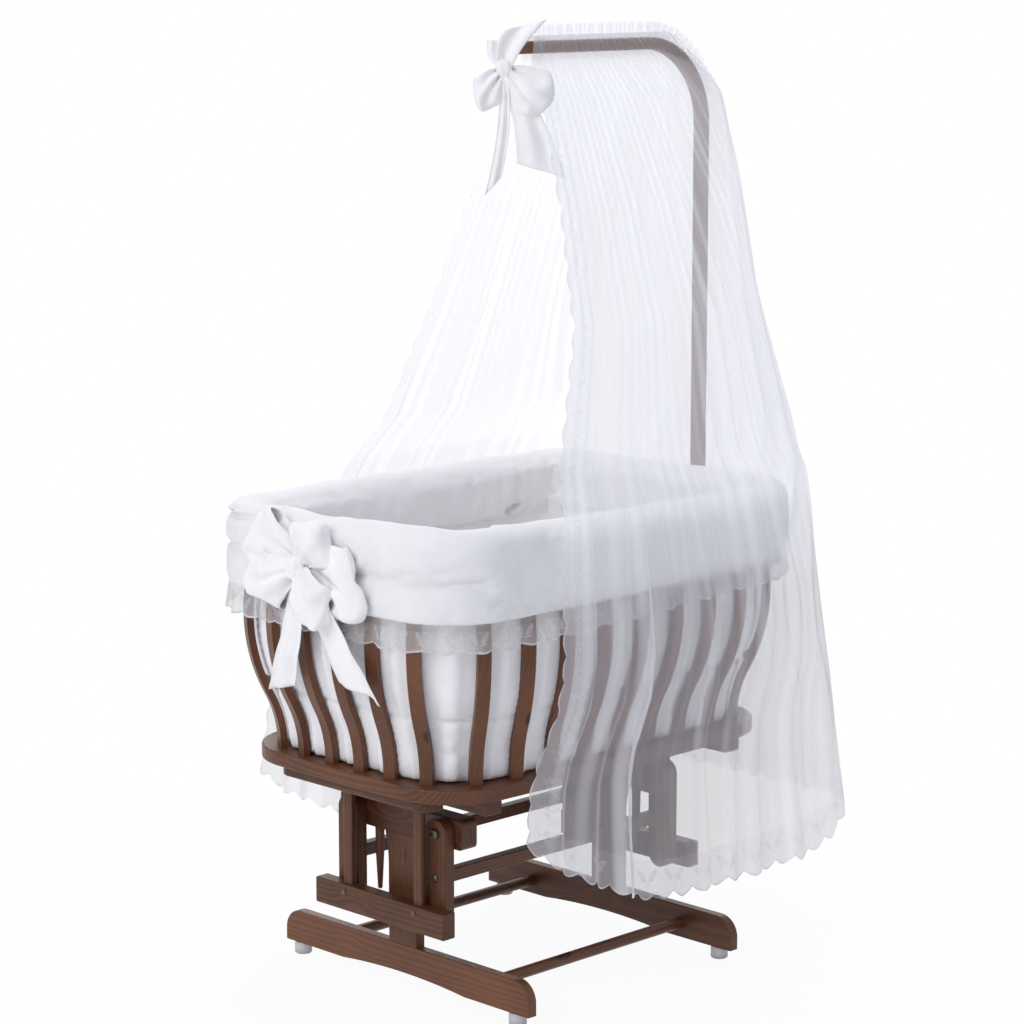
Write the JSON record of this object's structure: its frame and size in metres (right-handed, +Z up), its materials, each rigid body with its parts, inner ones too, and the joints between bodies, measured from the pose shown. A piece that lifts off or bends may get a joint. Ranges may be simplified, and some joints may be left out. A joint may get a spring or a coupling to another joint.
{
  "type": "gliding bedside crib",
  "caption": "Wooden bedside crib: slatted basket with padded cover and canopy net, hung on a base with swing arms that let it glide from side to side.",
  "frame": {"origin": "on the floor, under the centre of the crib's bounding box, which is midway between the foot rails and between their ends", "axes": "+Z up; +X towards the rear short end with the canopy pole; -Y towards the long side that carries the near half of the net"},
  "size_m": [1.028, 0.6994, 1.6387],
  "materials": {
    "stained_wood": "walnut-stained pine, satin",
    "steel": "zinc-plated",
    "glide_plastic": "pale grey, moulded",
    "bush_plastic": "natural nylon",
    "white_cotton": "padded cotton",
    "mattress_cloth": "cotton over foam",
    "bow_cloth": "textured cotton",
    "lace": "sheer lace",
    "tulle": "sheer tulle with embroidered hem"
  },
  "bodies": {
    "base": {"foot_rail_front": "stained_wood", "foot_rail_rear": "stained_wood", "glide_feet": "glide_plastic", "lower_dowel_near": "stained_wood", "lower_dowel_far": "stained_wood", "post_front": "stained_wood", "post_rear": "stained_wood", "head_board_front": "stained_wood", "head_board_rear": "stained_wood", "swing_stop_pegs": "stained_wood", "upper_pivot_bolts": "steel", "upper_pivot_nuts": "steel"},
    "far_arms": {"swing_arm_front_far": "stained_wood", "swing_arm_rear_far": "stained_wood", "arm_bar_far": "stained_wood", "arm_bar_bolts_far": "steel", "pivot_bushes_far": "bush_plastic"},
    "near_arms": {"swing_arm_front_near": "stained_wood", "swing_arm_rear_near": "stained_wood", "arm_bar_near": "stained_wood", "arm_bar_bolts_near": "steel", "pivot_bushes_near": "bush_plastic"},
    "basket": {"base_board": "stained_wood", "basket_posts_front": "stained_wood", "basket_posts_rear": "stained_wood", "canopy_net": "tulle", "canopy_pole": "stained_wood", "cross_bar_front": "stained_wood", "cross_bar_rear": "stained_wood", "cross_bar_screws": "steel", "end_cleat_front": "stained_wood", "end_cleat_rear": "stained_wood", "floor_batten_front": "stained_wood", "floor_batten_rear": "stained_wood", "front_bow": "bow_cloth", "lace_ruffle": "lace", "liner": "white_cotton", "lower_pivot_bolts": "steel", "mattress": "mattress_cloth", "pole_bow": "bow_cloth", "pole_foot_block": "stained_wood", "pole_foot_bolts": "steel", "pole_strap": "steel", "pole_strap_screws": "steel", "pole_upper_block": "stained_wood", "rim_cover": "white_cotton", "rim_rail": "stained_wood", "slats_far_side": "stained_wood", "slats_front_end": "stained_wood", "slats_near_side": "stained_wood", "slats_rear_end": "stained_wood"}
  },
  "joints": [
    {"name": "glide", "type": "hinge", "parent": "base", "child": "far_arms", "pos_m": [0, 0.107, 0.297], "axis": [1, 0, 0], "range_deg": [-12, 12]},
    {"name": "basket_level", "type": "hinge", "parent": "far_arms", "child": "basket", "pos_m": [0, 0.107, 0.152], "axis": [1, 0, 0], "range_deg": [-12, 12]},
    {"name": "near_arm_swing", "type": "hinge", "parent": "base", "child": "near_arms", "pos_m": [0, -0.107, 0.297], "axis": [1, 0, 0], "range_deg": [-12, 12]}
  ],
  "couplings": [
    {"joint": "basket_level", "follows": "glide", "ratio": -1},
    {"joint": "near_arm_swing", "follows": "glide", "ratio": 1}
  ]
}
